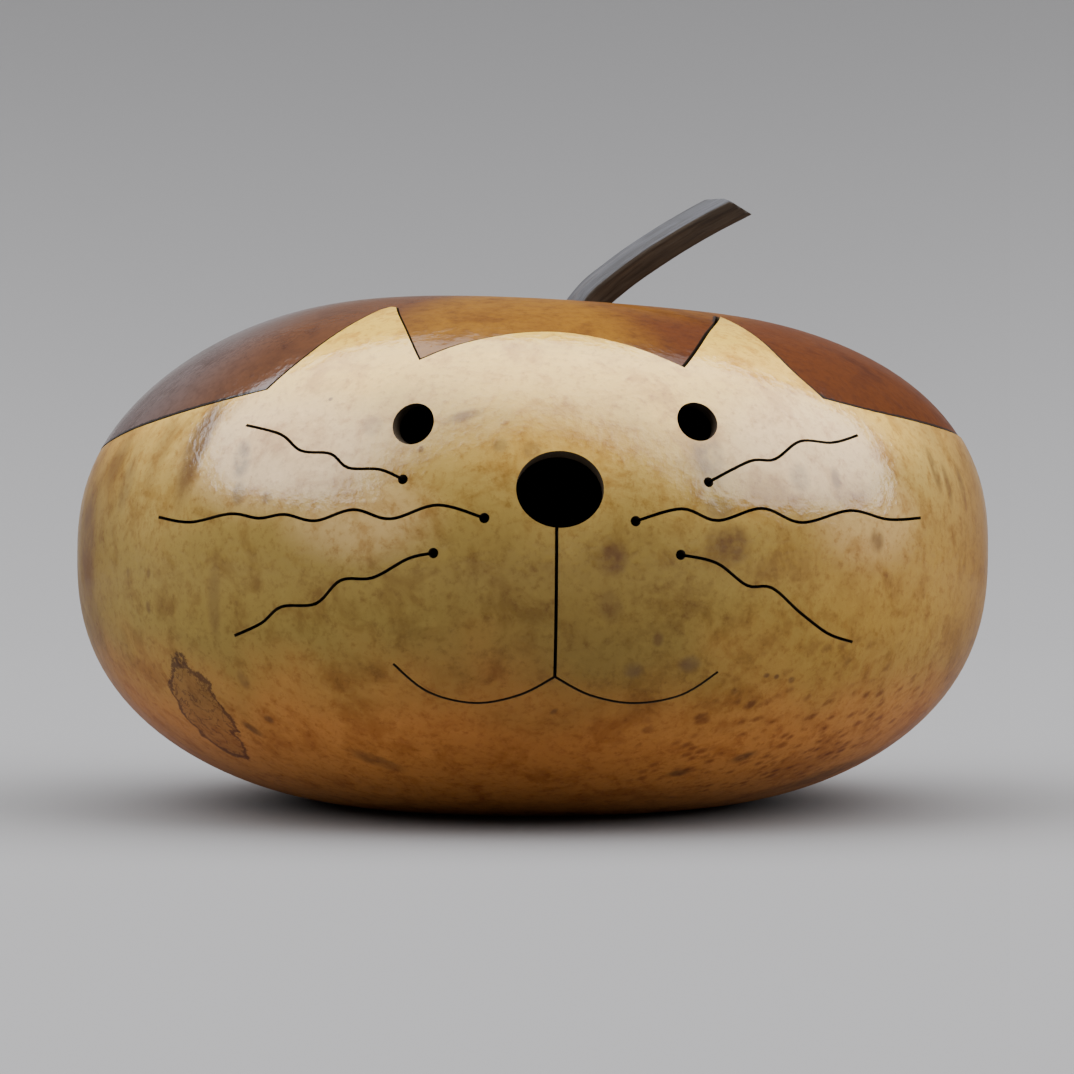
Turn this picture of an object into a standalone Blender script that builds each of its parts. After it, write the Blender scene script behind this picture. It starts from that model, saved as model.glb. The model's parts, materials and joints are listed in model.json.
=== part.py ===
"""A dried squat bottle gourd, hollowed and sawn into a lidded container with a pierced cat's face.

The body and the lid are one hollow shell parted by a single saw line that draws the ears. The
stem stands in the dimple of the lid. The face looks along -Y. Sizes are in metres and angles in
degrees. A place on the skin is a pair: its bearing round the gourd (0 at the front, positive to
the viewer's right) and its rise above the level of the gourd's heart.
"""

import math

import bmesh
import bpy
from mathutils import Matrix, Vector

COLLECTION_NAME = "lidded_gourd"
CUTTER_COLLECTION_NAME = "cutters"
FACE_COLLECTION_NAME = "face_cutters"

# Form of the gourd
HALF_WIDTH = 0.1148
HEART_HEIGHT = 0.0637
CROWN_HEIGHT = 0.0599
CROWN_POWER = 2.28
FOOT_DEPTH = 0.0622
FOOT_POWER = 2.36
FOOT_FLAT_BELOW = -67.5
SHOULDER_SWELL = 0.039
LOPSIDED = 0.005
CROWN_LEAN = 0.0019
CROWN_LEAN_REACH = 0.110
DIMPLE_DEPTH = 0.007
DIMPLE_RADIUS = 0.024
DIMPLE_OFFSET = 0.008
WALL = 0.0055
SEGMENTS = 56
RINGS = 30

# Cuts through the wall
CUT_MARGIN = 0.003
SAW_KERF = 0.00085
LID_SETTLE = Vector((-0.00025, 0.0, -0.00035))
WHISKER_SLIT = 0.0007
MOUTH_SLIT = 0.00075
SMILE_SLIT = 0.0006
SLIT_STEP = 0.0040
LID_LINE_STEP = 0.0040
DRILL_VERTICES = 24
DOT_VERTICES = 10

EYE_DIAMETER = 0.0094
NOSE_WIDTH = 0.0192
NOSE_HEIGHT = 0.0173
WHISKER_DOT = 0.0023
DRILL_DEPTH = 0.012

# Each hole: its place, then the bearing and rise that the drill points back along
LEFT_EYE = ((-14.4, 14.4), (-12.0, 1.0))
RIGHT_EYE = ((19.8, 15.6), (9.0, 6.0))
NOSE = ((2.8, 7.0), (3.0, 13.0))

# The saw line in stretches that are smooth within and meet at the corners of the ears
LEFT_EAR_OUTER_EDGE = [(-37.0, 19.5), (-34.3, 25.2), (-32.2, 32.0), (-30.7, 37.8)]
LEFT_EAR_TIP = [(-30.7, 37.8), (-29.5, 39.2), (-27.7, 38.9)]
LEFT_EAR_INNER_EDGE = [(-27.7, 38.9), (-20.9, 31.2), (-15.8, 24.2)]
FOREHEAD = [(-15.8, 24.2), (-10.4, 27.7), (-2.0, 30.8), (6.0, 31.3), (14.4, 28.8), (21.0, 24.7)]
RIGHT_EAR_INNER_EDGE = [(21.0, 24.7), (31.0, 34.0), (43.3, 42.2)]
RIGHT_EAR_OUTER_EDGE = [(43.3, 42.2), (41.1, 34.0), (39.3, 25.5), (40.8, 19.8)]
LID_BACK_EDGE = [
    (40.8, 19.8), (52.0, 17.5), (75.0, 15.1), (120.0, 13.2), (180.0, 12.6),
    (240.0, 12.6), (276.0, 12.8), (300.0, 15.6), (315.0, 18.0), (323.0, 19.5),
]

# Slits of the face, through the crests and troughs of their waves; whiskers start at the dot
WHISKERS = [
    [(-14.8, 7.9), (-17.6, 9.0), (-21.5, 9.2), (-24.0, 10.8), (-28.0, 11.2), (-31.5, 13.2), (-37.4, 14.5)],
    [(-5.5, 3.7), (-10.7, 5.1), (-16.0, 3.6), (-20.4, 4.6), (-25.0, 3.4), (-29.0, 4.1), (-32.5, 3.7),
     (-36.6, 4.2), (-43.0, 3.3), (-49.0, 3.9)],
    [(-11.1, -0.1), (-13.9, -0.7), (-18.0, -2.8), (-21.8, -3.1), (-25.0, -5.7), (-29.5, -6.1),
     (-32.5, -8.0), (-36.7, -9.5)],
    [(19.8, 7.9), (25.4, 10.5), (28.8, 10.8), (33.2, 13.2), (38.2, 13.1), (43.2, 14.2)],
    [(11.1, 3.4), (16.4, 4.8), (20.6, 3.5), (26.2, 4.9), (31.4, 3.3), (38.6, 4.7), (45.0, 3.7), (51.6, 3.9)],
    [(16.2, -0.3), (20.4, -1.2), (24.2, -3.7), (27.4, -4.0), (31.4, -6.8), (35.9, -9.3), (40.1, -10.4)],
]
LIP_SLIT = [(2.4, 3.5), (2.3, -14.0)]
LEFT_SMILE = [(2.3, -14.0), (-1.8, -16.3), (-7.1, -17.4), (-12.5, -16.0), (-16.3, -12.5)]
RIGHT_SMILE = [(2.3, -14.0), (6.6, -16.4), (12.0, -17.5), (17.6, -16.5), (21.7, -13.6)]

# The stem: a ridged stalk that leans to the viewer's right, with a worn top corner and a slanted end
STEM_PATH = [
    (0.0080, 0.0, 0.1100), (0.0100, 0.0, 0.1200), (0.0145, 0.0, 0.1275), (0.0206, 0.0, 0.1329),
    (0.0288, 0.0, 0.1388), (0.0415, 0.0, 0.1466), (0.0540, 0.0, 0.1531), (0.0600, 0.0, 0.1562),
]
STEM_SWELL = (1.35, 1.20, 1.12, 1.08, 1.08, 1.06, 1.04, 1.04)
STEM_RADIUS = 0.0038
STEM_RIDGES = 5
STEM_RIDGE_SHARPNESS = 14
STEM_FIRST_RIDGE = 12.0
STEM_SIDES = 20
STEM_GAP = 0.0003
STEM_CUTS = [
    (Vector((0.0484, 0.0, 0.1527)), Vector((0.49, 0.0, 0.87))),
    (Vector((0.0440, 0.0, 0.1529)), Vector((0.0, 0.0, 1.0))),
]

BODY_COLOUR = (0.56, 0.33, 0.12, 1.0)
LID_COLOUR = (0.25, 0.085, 0.018, 1.0)
STEM_COLOUR = (0.16, 0.115, 0.085, 1.0)


def clear_scene():
    for item in list(bpy.data.objects):
        bpy.data.objects.remove(item, do_unlink=True)


def new_collection(name, parent):
    collection = bpy.data.collections.new(name)
    parent.children.link(collection)
    return collection


def new_object(name, mesh, collection):
    item = bpy.data.objects.new(name, mesh)
    collection.objects.link(item)
    return item


def mesh_from_bmesh(name, bm):
    mesh = bpy.data.meshes.new(name)
    bm.to_mesh(mesh)
    bm.free()
    return mesh


def new_material(name, colour, roughness):
    material = bpy.data.materials.new(name)
    material.use_nodes = True
    shader = material.node_tree.nodes["Principled BSDF"]
    shader.inputs["Base Color"].default_value = colour
    shader.inputs["Roughness"].default_value = roughness
    shader.inputs["Metallic"].default_value = 0.0
    return material


def direction(bearing, rise):
    """Unit vector that points out of the gourd at a bearing and rise."""
    turn = math.radians(bearing)
    lift = math.radians(rise)
    level = math.cos(lift)
    return Vector((level * math.sin(turn), -level * math.cos(turn), math.sin(lift)))


def skin_place(bearing, rise):
    """Point of the outer skin: a superellipse with full shoulders, then lopsided and dimpled."""
    outward = direction(bearing, rise)
    lift = math.radians(rise)
    height, power = (CROWN_HEIGHT, CROWN_POWER) if rise > 0 else (FOOT_DEPTH, FOOT_POWER)
    level = math.hypot(outward.x, outward.y) / HALF_WIDTH
    steep = abs(outward.z) / height
    reach = (level ** power + steep ** power) ** (-1 / power)
    reach *= 1 + SHOULDER_SWELL * (1 - math.cos(4 * lift))
    reach *= 1 + LOPSIDED * outward.x * (math.sin(2 * lift) - math.cos(4 * lift))
    place = outward * reach
    if rise > 0:
        share = min(place.z / CROWN_HEIGHT, 1.0)
        across = max(-1.0, min(1.0, place.x / CROWN_LEAN_REACH))
        place.z -= CROWN_LEAN * math.sin(math.pi * across) * share * share * (3 - 2 * share)
        from_dimple = math.hypot(place.x - DIMPLE_OFFSET, place.y) / DIMPLE_RADIUS
        place.z -= DIMPLE_DEPTH * math.exp(-from_dimple ** 2)
    place.z = max(place.z + HEART_HEIGHT, 0.0)
    if rise < FOOT_FLAT_BELOW:
        place.z = 0.0
    return place


def skin_normal(bearing, rise):
    """Outward normal of the skin, from two short steps along it."""
    step = 0.2
    along = skin_place(bearing + step, rise) - skin_place(bearing - step, rise)
    up = skin_place(bearing, rise + step) - skin_place(bearing, rise - step)
    return along.cross(up).normalized()


def skin_mesh(name):
    """The closed outer skin, a UV sphere whose vertices are moved to the gourd's form."""
    bm = bmesh.new()
    bmesh.ops.create_uvsphere(bm, u_segments=SEGMENTS, v_segments=RINGS, radius=1.0)
    for vert in bm.verts:
        rise = math.degrees(math.asin(max(-1.0, min(1.0, vert.co.z))))
        bearing = math.degrees(math.atan2(vert.co.x, -vert.co.y))
        vert.co = skin_place(bearing, rise)
    bmesh.ops.triangulate(bm, faces=bm.faces)
    return mesh_from_bmesh(name, bm)


def smooth_line(points, cut_step=SLIT_STEP):
    """A Catmull-Rom line through the points, in even steps, so that waves and bows stay round."""
    ends = [points[0]] + list(points) + [points[-1]]
    line = []
    for first, second, third, fourth in zip(ends, ends[1:], ends[2:], ends[3:]):
        span = (skin_place(*third) - skin_place(*second)).length
        steps = max(1, round(span / cut_step))
        for step in range(steps):
            t = step / steps
            line.append(tuple(
                0.5 * (2 * b + (c - a) * t + (2 * a - 5 * b + 4 * c - d) * t ** 2
                       + (3 * b - a - 3 * c + d) * t ** 3)
                for a, b, c, d in zip(first, second, third, fourth)))
    line.append(tuple(points[-1]))
    return line


def saw_blade(name, line, width, closed, collection):
    """A thin solid that follows a line of places and stands square to the skin, through the wall."""
    bm = bmesh.new()
    outer = [bm.verts.new(skin_place(*at) + skin_normal(*at) * CUT_MARGIN) for at in line]
    edges = [bm.edges.new(pair) for pair in zip(outer, outer[1:])]
    if closed:
        edges.append(bm.edges.new((outer[-1], outer[0])))
    sunk = bmesh.ops.extrude_edge_only(bm, edges=edges)
    depth = WALL + 2 * CUT_MARGIN
    normals = {tuple(vert.co): skin_normal(*at) for vert, at in zip(outer, line)}
    for item in sunk["geom"]:
        if isinstance(item, bmesh.types.BMVert):
            item.co -= normals[tuple(item.co)] * depth
    bmesh.ops.triangulate(bm, faces=bm.faces)
    blade = new_object(name, mesh_from_bmesh(name, bm), collection)
    solid = blade.modifiers.new("Width", "SOLIDIFY")
    solid.thickness = width
    solid.offset = 0.0
    solid.use_even_offset = True
    return blade


def drill(name, place, facing, width, height, vertices, collection):
    """A cylinder through the wall at a place of the skin, pointing along a direction."""
    bm = bmesh.new()
    bmesh.ops.create_cone(bm, cap_ends=True, segments=vertices, radius1=0.5, radius2=0.5, depth=1.0)
    bit = new_object(name, mesh_from_bmesh(name, bm), collection)
    turn = facing.to_track_quat("Z", "Y").to_matrix().to_4x4()
    size = Matrix.Diagonal((width, height, 2 * DRILL_DEPTH, 1.0))
    bit.matrix_world = Matrix.Translation(skin_place(*place)) @ turn @ size
    return bit


def face_cutters(collection):
    for name, (place, aim) in (("left_eye", LEFT_EYE), ("right_eye", RIGHT_EYE)):
        drill(name, place, direction(*aim), EYE_DIAMETER, EYE_DIAMETER, DRILL_VERTICES, collection)
    drill("nose", NOSE[0], direction(*NOSE[1]), NOSE_WIDTH, NOSE_HEIGHT, DRILL_VERTICES, collection)
    for index, whisker in enumerate(WHISKERS):
        saw_blade(f"whisker_{index}", smooth_line(whisker), WHISKER_SLIT, False, collection)
        drill(f"whisker_dot_{index}", whisker[0], skin_normal(*whisker[0]), WHISKER_DOT, WHISKER_DOT,
              DOT_VERTICES, collection)
    saw_blade("lip_slit", smooth_line(LIP_SLIT), MOUTH_SLIT, False, collection)
    for name, smile in (("left_smile", LEFT_SMILE), ("right_smile", RIGHT_SMILE)):
        saw_blade(name, smooth_line(smile), SMILE_SLIT, False, collection)


def lid_line():
    """The whole saw line as one closed loop of places, without a doubled point at its corners."""
    stretches = (LEFT_EAR_OUTER_EDGE, LEFT_EAR_TIP, LEFT_EAR_INNER_EDGE, FOREHEAD,
                 RIGHT_EAR_INNER_EDGE, RIGHT_EAR_OUTER_EDGE, LID_BACK_EDGE)
    line = []
    for stretch in stretches:
        line += smooth_line(stretch, LID_LINE_STEP)[:-1]
    return line


def cut_with(item, name, **settings):
    """Adds an exact Boolean difference to an object."""
    cut = item.modifiers.new(name, "BOOLEAN")
    cut.operation = "DIFFERENCE"
    cut.solver = "EXACT"
    for key, value in settings.items():
        setattr(cut, key, value)
    return cut


def evaluated_mesh(item):
    graph = bpy.context.evaluated_depsgraph_get()
    return bpy.data.meshes.new_from_object(item.evaluated_get(graph))


def loose_parts(mesh):
    """Splits a mesh into its separate bodies, each a bmesh, highest first."""
    bm = bmesh.new()
    bm.from_mesh(mesh)
    left = set(bm.verts)
    groups = []
    while left:
        reached = [left.pop()]
        group = set(reached)
        while reached:
            for edge in reached.pop().link_edges:
                for vert in edge.verts:
                    if vert in left:
                        left.remove(vert)
                        group.add(vert)
                        reached.append(vert)
        groups.append({vert.index for vert in group})
    bm.free()
    groups.sort(key=lambda group: -max(mesh.vertices[index].co.z for index in group))
    parts = []
    for group in groups:
        part = bmesh.new()
        part.from_mesh(mesh)
        others = [vert for vert in part.verts if vert.index not in group]
        bmesh.ops.delete(part, geom=others, context="VERTS")
        parts.append(part)
    return parts


def make_shell(collection, cutters, face):
    """The hollow gourd, parted along the saw line into the lid and the body."""
    shell = new_object("whole_shell", skin_mesh("whole_shell"), collection)
    wall = shell.modifiers.new("Wall", "SOLIDIFY")
    wall.thickness = WALL
    wall.offset = -1.0
    wall.use_even_offset = True
    blade = saw_blade("lid_saw", lid_line(), SAW_KERF, True, cutters)
    cut_with(shell, "Saw line", object=blade)
    lid_part, body_part = loose_parts(evaluated_mesh(shell))
    bpy.data.objects.remove(shell, do_unlink=True)

    lid = new_object("gourd_lid", mesh_from_bmesh("gourd_lid", lid_part), collection)
    lid.location = LID_SETTLE
    body = new_object("gourd_body", mesh_from_bmesh("gourd_body", body_part), collection)
    cut_with(body, "Face", operand_type="COLLECTION", collection=face)
    lid.data.materials.append(new_material("lid_stained_skin", LID_COLOUR, 0.32))
    body.data.materials.append(new_material("gourd_skin", BODY_COLOUR, 0.35))
    return body, lid


def stem_reach(turn):
    """Distance from the stem's middle to its surface: a polygon of sides with rounded corners."""
    pull = 0.0
    for ridge in range(STEM_RIDGES):
        side = math.radians(STEM_FIRST_RIDGE + (ridge + 0.5) * 360 / STEM_RIDGES)
        pull += max(0.0, math.cos(turn - side)) ** STEM_RIDGE_SHARPNESS
    return STEM_RADIUS * pull ** (-1 / STEM_RIDGE_SHARPNESS)


def stem_profile():
    """The stem's section, a closed curve with five flat sides that meet in rounded ridges."""
    profile = bpy.data.curves.new("stem_profile", "CURVE")
    profile.dimensions = "2D"
    line = profile.splines.new("POLY")
    line.points.add(STEM_SIDES - 1)
    for index, point in enumerate(line.points):
        turn = 2 * math.pi * index / STEM_SIDES
        radius = stem_reach(turn)
        point.co = (radius * math.cos(turn), radius * math.sin(turn), 0.0, 1.0)
    line.use_cyclic_u = True
    return bpy.data.objects.new("stem_profile", profile)


def make_stem(collection, cutters):
    """The stalk, swept along its path, seated in the dimple and cut at its end."""
    profile = stem_profile()
    cutters.objects.link(profile)
    route = bpy.data.curves.new("stem_route", "CURVE")
    route.dimensions = "3D"
    route.resolution_u = 3
    route.bevel_mode = "OBJECT"
    route.bevel_object = profile
    route.use_fill_caps = True
    line = route.splines.new("BEZIER")
    line.bezier_points.add(len(STEM_PATH) - 1)
    for point, place, swell in zip(line.bezier_points, STEM_PATH, STEM_SWELL):
        point.co = place
        point.radius = swell
        point.handle_left_type = "AUTO"
        point.handle_right_type = "AUTO"
    sweep = new_object("stem_route", route, collection)
    bm = bmesh.new()
    bm.from_mesh(evaluated_mesh(sweep))
    bmesh.ops.remove_doubles(bm, verts=bm.verts, dist=0.00001)
    for place, facing in STEM_CUTS:
        end = bmesh.ops.bisect_plane(bm, geom=bm.verts[:] + bm.edges[:] + bm.faces[:],
                                     plane_co=place, plane_no=facing, clear_outer=True)
        rim = [item for item in end["geom_cut"] if isinstance(item, bmesh.types.BMEdge)]
        bmesh.ops.contextual_create(bm, geom=rim)
    bmesh.ops.recalc_face_normals(bm, faces=bm.faces)
    stem = new_object("stem", mesh_from_bmesh("stem", bm), collection)
    for spare in (sweep, profile):
        bpy.data.objects.remove(spare, do_unlink=True)

    seat = new_object("stem_seat", skin_mesh("stem_seat"), cutters)
    seat.location = LID_SETTLE
    for vert in seat.data.vertices:
        vert.co += vert.normal * STEM_GAP
    cut_with(stem, "Seat", object=seat)
    stem.data.materials.append(new_material("dry_stem", STEM_COLOUR, 0.7))
    return stem


def hide_cutters(collection):
    collection.hide_render = True
    for item in collection.objects:
        item.hide_render = True
        item.display_type = "WIRE"


def main():
    clear_scene()
    root = bpy.context.scene.collection
    parts = new_collection(COLLECTION_NAME, root)
    cutters = new_collection(CUTTER_COLLECTION_NAME, root)
    face = new_collection(FACE_COLLECTION_NAME, cutters)
    face_cutters(face)
    make_shell(parts, cutters, face)
    make_stem(parts, cutters)
    hide_cutters(cutters)
    hide_cutters(face)


main()
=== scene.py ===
"""The looks of the carved bottle gourd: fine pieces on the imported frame, materials, floor, light, camera.

A place on the skin is its bearing round the gourd in degrees (0 at the front, positive to the
viewer's right) and its rise above the level of the gourd's heart. Lengths are in metres.
"""

import json
import math

import bmesh
import bpy
from mathutils import Matrix, Vector
from mathutils.bvhtree import BVHTree
from mathutils.geometry import intersect_point_line
from mathutils.kdtree import KDTree

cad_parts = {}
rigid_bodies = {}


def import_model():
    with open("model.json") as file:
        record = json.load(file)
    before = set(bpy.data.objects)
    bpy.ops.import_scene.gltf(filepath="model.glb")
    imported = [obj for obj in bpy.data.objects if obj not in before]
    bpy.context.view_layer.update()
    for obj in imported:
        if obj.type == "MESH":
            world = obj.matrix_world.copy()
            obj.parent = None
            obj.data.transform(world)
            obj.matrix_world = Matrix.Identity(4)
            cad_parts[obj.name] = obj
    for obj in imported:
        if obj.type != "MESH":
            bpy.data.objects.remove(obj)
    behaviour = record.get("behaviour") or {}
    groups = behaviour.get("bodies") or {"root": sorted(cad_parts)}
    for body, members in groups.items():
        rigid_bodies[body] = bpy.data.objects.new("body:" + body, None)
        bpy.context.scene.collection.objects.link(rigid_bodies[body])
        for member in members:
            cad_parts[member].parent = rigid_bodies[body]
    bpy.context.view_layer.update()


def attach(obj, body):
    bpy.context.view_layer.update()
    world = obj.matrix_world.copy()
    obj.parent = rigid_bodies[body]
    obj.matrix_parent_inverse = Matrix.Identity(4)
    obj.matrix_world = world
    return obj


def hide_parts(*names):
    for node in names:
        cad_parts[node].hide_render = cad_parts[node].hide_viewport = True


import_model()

PHOTO_SIDE = 1074

# Form of the gourd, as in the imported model
HALF_WIDTH = 0.1148
HEART_HEIGHT = 0.0637
CROWN_HEIGHT = 0.0599
CROWN_POWER = 2.28
FOOT_DEPTH = 0.0622
FOOT_POWER = 2.36
FOOT_FLAT_BELOW = -67.5
SHOULDER_SWELL = 0.039
LOPSIDED = 0.005
CROWN_LEAN = 0.0019
CROWN_LEAN_REACH = 0.110
DIMPLE_DEPTH = 0.007
DIMPLE_RADIUS = 0.024
DIMPLE_OFFSET = 0.008
WALL = 0.0055
SEGMENTS = 224
RINGS = 120
SKIN_SLOT = 0
PITH_SLOT = 1

# Cuts through the wall
CUT_MARGIN = 0.003
SAW_KERF = 0.00085
LID_SETTLE = Vector((-0.00025, 0.0, -0.00035))
WHISKER_SLIT = 0.0007
MOUTH_SLIT = 0.00075
SMILE_SLIT = 0.0006
SLIT_STEP = 0.0012
LID_LINE_STEP = 0.0030
DRILL_VERTICES = 72
DOT_VERTICES = 24

EYE_DIAMETER = 0.0094
NOSE_WIDTH = 0.0192
NOSE_HEIGHT = 0.0173
WHISKER_DOT = 0.0023
DRILL_DEPTH = 0.012

# Each hole: its place, then the bearing and rise that the drill points back along
LEFT_EYE = ((-14.4, 14.4), (-12.0, 1.0))
RIGHT_EYE = ((19.8, 15.6), (9.0, 6.0))
NOSE = ((2.8, 7.0), (3.0, 13.0))

# The saw line in stretches that are smooth within and meet at the corners of the ears
LEFT_EAR_OUTER_EDGE = [(-37.0, 19.5), (-34.3, 25.2), (-32.2, 32.0), (-30.7, 37.8)]
LEFT_EAR_TIP = [(-30.7, 37.8), (-29.5, 39.2), (-27.7, 38.9)]
LEFT_EAR_INNER_EDGE = [(-27.7, 38.9), (-20.9, 31.2), (-15.8, 24.2)]
FOREHEAD = [(-15.8, 24.2), (-10.4, 27.7), (-2.0, 30.8), (6.0, 31.3), (14.4, 28.8), (21.0, 24.7)]
RIGHT_EAR_INNER_EDGE = [(21.0, 24.7), (31.0, 34.0), (43.3, 42.2)]
RIGHT_EAR_OUTER_EDGE = [(43.3, 42.2), (41.1, 34.0), (39.3, 25.5), (40.8, 19.8)]
LID_BACK_EDGE = [
    (40.8, 19.8), (52.0, 17.5), (75.0, 15.1), (120.0, 13.2), (180.0, 12.6),
    (240.0, 12.6), (276.0, 12.8), (300.0, 15.6), (315.0, 18.0), (323.0, 19.5),
]

# Slits of the face, through the crests and troughs of their waves; whiskers start at the dot
WHISKERS = [
    [(-14.8, 7.9), (-17.6, 9.0), (-21.5, 9.2), (-24.0, 10.8), (-28.0, 11.2), (-31.5, 13.2),
     (-37.4, 14.5)],
    [(-5.5, 3.7), (-10.7, 5.1), (-16.0, 3.6), (-20.4, 4.6), (-25.0, 3.4), (-29.0, 4.1), (-32.5, 3.7),
     (-36.6, 4.2), (-43.0, 3.3), (-49.0, 3.9)],
    [(-11.1, -0.1), (-13.9, -0.7), (-18.0, -2.8), (-21.8, -3.1), (-25.0, -5.7), (-29.5, -6.1),
     (-32.5, -8.0), (-36.7, -9.5)],
    [(19.8, 7.9), (25.4, 10.5), (28.8, 10.8), (33.2, 13.2), (38.2, 13.1), (43.2, 14.2)],
    [(11.1, 3.4), (16.4, 4.8), (20.6, 3.5), (26.2, 4.9), (31.4, 3.3), (38.6, 4.7), (45.0, 3.7),
     (51.6, 3.9)],
    [(16.2, -0.3), (20.4, -1.2), (24.2, -3.7), (27.4, -4.0), (31.4, -6.8), (35.9, -9.3), (40.1, -10.4)],
]
LIP_SLIT = [(2.4, 3.5), (2.3, -14.0)]
LEFT_SMILE = [(2.3, -14.0), (-1.8, -16.3), (-7.1, -17.4), (-12.5, -16.0), (-16.3, -12.5)]
RIGHT_SMILE = [(2.3, -14.0), (6.6, -16.4), (12.0, -17.5), (17.6, -16.5), (21.7, -13.6)]

# The stem: a ridged stalk that leans to the viewer's right, with a worn top corner and a slanted end
STEM_PATH = [
    (0.0080, 0.0, 0.1100), (0.0100, 0.0, 0.1200), (0.0145, 0.0, 0.1275), (0.0206, 0.0, 0.1329),
    (0.0288, 0.0, 0.1388), (0.0415, 0.0, 0.1466), (0.0540, 0.0, 0.1531), (0.0600, 0.0, 0.1562),
]
STEM_SWELL = (1.35, 1.20, 1.12, 1.08, 1.08, 1.06, 1.04, 1.04)
STEM_RADIUS = 0.0038
STEM_RIDGES = 5
STEM_RIDGE_SHARPNESS = 14
STEM_FIRST_RIDGE = 12.0
STEM_SIDES = 80
STEM_CURVE_STEPS = 12
STEM_GAP = 0.0003
WELD_DISTANCE = 0.00001
END_CORNERS = 5
STEM_CUTS = [
    (Vector((0.0484, 0.0, 0.1527)), Vector((0.49, 0.0, 0.87))),
    (Vector((0.0440, 0.0, 0.1529)), Vector((0.0, 0.0, 1.0))),
]

# Camera: level, as far and as long as the photograph's
CAMERA_PLACE = (0.0005, -0.780, 0.067)
FOCAL_PIXELS = 3061
SENSOR_WIDTH = 36.0

# The studio light is a long soft box overhead, each edge given by where its fade starts and ends.
# They are measured at a height of 1: how far behind the object, to its right, or both. The front
# edge is a wedge that runs forward on both sides, and the left end is cut on the slant.
BOX_FRONT_EDGE = (-0.65, 0.15)
BOX_WEDGE = 0.85
BOX_WEDGE_REACH = 2.0
BOX_BACK_EDGE = (0.66, 0.60)
BOX_LEFT_EDGE = (-3.4, -2.4)
BOX_SLANT = 0.545
BOX_SLANT_EDGE = (1.42, 1.28)
BOX_LOW_EDGE = (0.14, 0.24)
BOX_STRENGTH = 5.0
LOWEST_HEIGHT = 0.02

# The room round it is dim, and glows a little more towards the level
ROOM_STRENGTH = 0.18
ROOM_LEVEL_GLOW = 0.17
ROOM_LEVEL_FADE = (0.30, 0.0)
SKY_COLOUR = (0.94, 0.95, 1.0, 1.0)

# Floor, and the backdrop that curves up behind the object
FLOOR_COLOUR = (0.25, 0.246, 0.24, 1.0)
FLOOR_HALF_WIDTH = 3.0
FLOOR_FRONT = -2.5
FLOOR_BACK = 1.2
BACKDROP_HALF_WIDTH = 0.64
BACKDROP_RADIUS = 0.8
BACKDROP_HEIGHT = 3.0
BACKDROP_STEPS = 24


def new_object(name, mesh, collection):
    item = bpy.data.objects.new(name, mesh)
    collection.objects.link(item)
    return item


def mesh_from_bmesh(name, bm):
    mesh = bpy.data.meshes.new(name)
    bm.to_mesh(mesh)
    bm.free()
    return mesh


# Skin form

def direction(bearing, rise):
    """Unit vector that points out of the gourd at a bearing and rise."""
    turn = math.radians(bearing)
    lift = math.radians(rise)
    level = math.cos(lift)
    return Vector((level * math.sin(turn), -level * math.cos(turn), math.sin(lift)))


def skin_place(bearing, rise):
    """Point of the outer skin: a superellipse with full shoulders, then lopsided and dimpled."""
    outward = direction(bearing, rise)
    lift = math.radians(rise)
    height, power = (CROWN_HEIGHT, CROWN_POWER) if rise > 0 else (FOOT_DEPTH, FOOT_POWER)
    level = math.hypot(outward.x, outward.y) / HALF_WIDTH
    steep = abs(outward.z) / height
    reach = (level ** power + steep ** power) ** (-1 / power)
    reach *= 1 + SHOULDER_SWELL * (1 - math.cos(4 * lift))
    reach *= 1 + LOPSIDED * outward.x * (math.sin(2 * lift) - math.cos(4 * lift))
    place = outward * reach
    if rise > 0:
        share = min(place.z / CROWN_HEIGHT, 1.0)
        across = max(-1.0, min(1.0, place.x / CROWN_LEAN_REACH))
        place.z -= CROWN_LEAN * math.sin(math.pi * across) * share * share * (3 - 2 * share)
        from_dimple = math.hypot(place.x - DIMPLE_OFFSET, place.y) / DIMPLE_RADIUS
        place.z -= DIMPLE_DEPTH * math.exp(-from_dimple ** 2)
    place.z = max(place.z + HEART_HEIGHT, 0.0)
    if rise < FOOT_FLAT_BELOW:
        place.z = 0.0
    return place


def skin_normal(bearing, rise):
    """Outward normal of the skin, from two short steps along it."""
    step = 0.2
    along = skin_place(bearing + step, rise) - skin_place(bearing - step, rise)
    up = skin_place(bearing, rise + step) - skin_place(bearing, rise - step)
    return along.cross(up).normalized()


def skin_mesh(name):
    """The closed outer skin, a UV sphere whose vertices are moved to the gourd's form."""
    bm = bmesh.new()
    bmesh.ops.create_uvsphere(bm, u_segments=SEGMENTS, v_segments=RINGS, radius=1.0)
    for vert in bm.verts:
        rise = math.degrees(math.asin(max(-1.0, min(1.0, vert.co.z))))
        bearing = math.degrees(math.atan2(vert.co.x, -vert.co.y))
        vert.co = skin_place(bearing, rise)
    bmesh.ops.triangulate(bm, faces=bm.faces)
    return mesh_from_bmesh(name, bm)


# Cutters

def smooth_line(points, cut_step=SLIT_STEP):
    """A Catmull-Rom line through the points, in even steps, so that waves and bows stay round."""
    ends = [points[0]] + list(points) + [points[-1]]
    line = []
    for first, second, third, fourth in zip(ends, ends[1:], ends[2:], ends[3:]):
        span = (skin_place(*third) - skin_place(*second)).length
        steps = max(1, round(span / cut_step))
        for step in range(steps):
            t = step / steps
            line.append(tuple(
                0.5 * (2 * b + (c - a) * t + (2 * a - 5 * b + 4 * c - d) * t ** 2
                       + (3 * b - a - 3 * c + d) * t ** 3)
                for a, b, c, d in zip(first, second, third, fourth)))
    line.append(tuple(points[-1]))
    return line


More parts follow.
